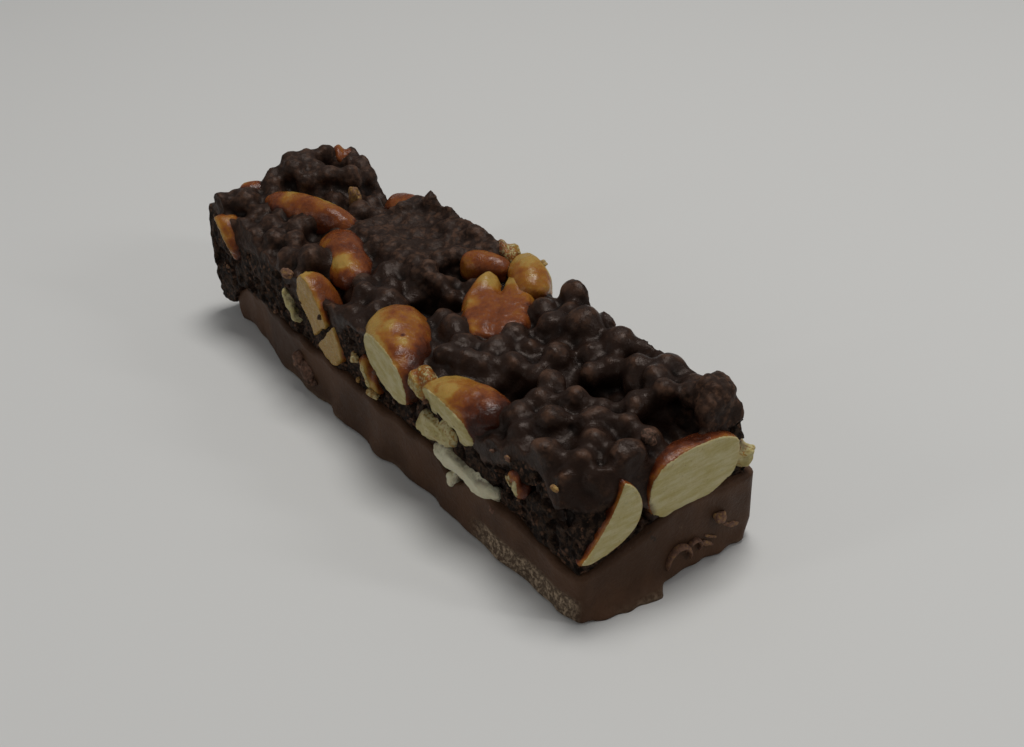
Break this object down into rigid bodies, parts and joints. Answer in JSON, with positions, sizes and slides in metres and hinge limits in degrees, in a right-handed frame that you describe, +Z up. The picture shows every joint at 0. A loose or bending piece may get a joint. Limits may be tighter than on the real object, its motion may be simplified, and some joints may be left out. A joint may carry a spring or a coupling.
{
  "type": "peanut chocolate bar",
  "caption": "Flat-cut snack bar with a milk chocolate slab below, a knobbly layer of chocolate-coated crisped rice on it, and roasted peanuts sunk in that layer.",
  "frame": {"origin": "middle of the bar's flat underside", "axes": "+X along the bar towards the sliced end that shows, +Z up through the layers, +Y away from the long side that shows"},
  "size_m": [0.1026, 0.0304, 0.0254],
  "materials": {
    "milk_chocolate": "satin, slightly waxy milk chocolate",
    "coated_crisps": "dark chocolate glaze over crisped rice, glossy on top and dull where it was sliced",
    "peanut": "roasted peanut, glazed golden to orange, pale and dry where it was sliced"
  },
  "bodies": {
    "root": {"milk_layer": "milk_chocolate", "crisped_layer": "coated_crisps", "peanut_end_oval": "peanut", "peanut_end_wedge": "peanut", "peanut_split": "peanut", "peanut_side_large": "peanut", "peanut_side_near": "peanut", "peanut_ridge": "peanut", "peanut_bend": "peanut", "peanut_side_upper": "peanut", "peanut_side_lower": "peanut", "peanut_back_edge": "peanut", "peanut_back_left": "peanut", "peanut_behind": "peanut", "peanut_far_edge": "peanut", "peanut_far_side": "peanut", "peanut_far_top": "peanut", "peanut_fleck": "peanut", "peanut_side_sliver": "peanut", "peanut_side_crumb": "peanut", "peanut_between": "peanut", "peanut_under": "peanut", "peanut_cut_sliver": "peanut", "peanut_cut_fork": "peanut", "peanut_side_chip": "peanut", "peanut_corner_chip": "peanut", "peanut_back_near": "peanut", "peanut_back_middle": "peanut", "peanut_back_far": "peanut", "peanut_far_cut": "peanut"}
  },
  "joints": []
}
